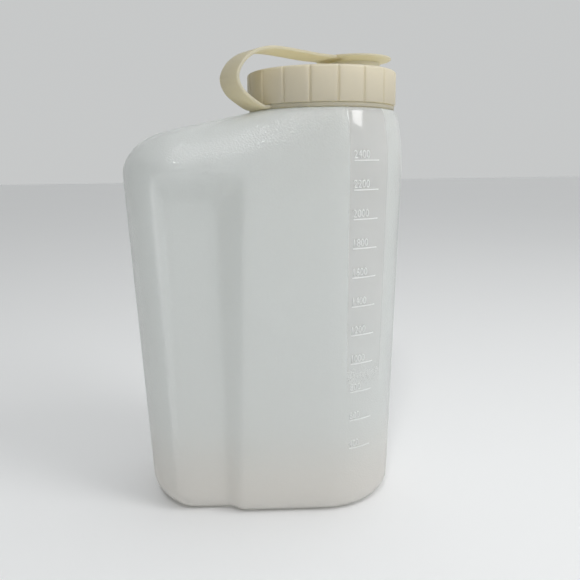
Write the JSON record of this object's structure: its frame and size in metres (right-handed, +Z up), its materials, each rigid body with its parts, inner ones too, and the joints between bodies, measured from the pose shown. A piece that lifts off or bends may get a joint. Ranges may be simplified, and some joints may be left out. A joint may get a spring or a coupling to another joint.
{
  "type": "pitcher",
  "caption": "Slim translucent plastic pitcher with a finger grip in each side, a sloping shoulder, a ribbed screw lid and a spout cap held by a strap",
  "frame": {"origin": "middle of the base, on the surface the pitcher stands on", "axes": "+Z up, +X towards the lid and the round front, -Y the side that carries the scale"},
  "size_m": [0.162, 0.0976, 0.2689],
  "materials": {
    "milky_plastic": "translucent, finely pebbled, with a smooth clear strip for the scale",
    "cream_plastic": "satin moulded",
    "soft_cream_plastic": "satin moulded, flexible"
  },
  "bodies": {
    "root": {"bottle": "milky_plastic", "lid": "cream_plastic", "tether_cap": "soft_cream_plastic"}
  },
  "joints": []
}
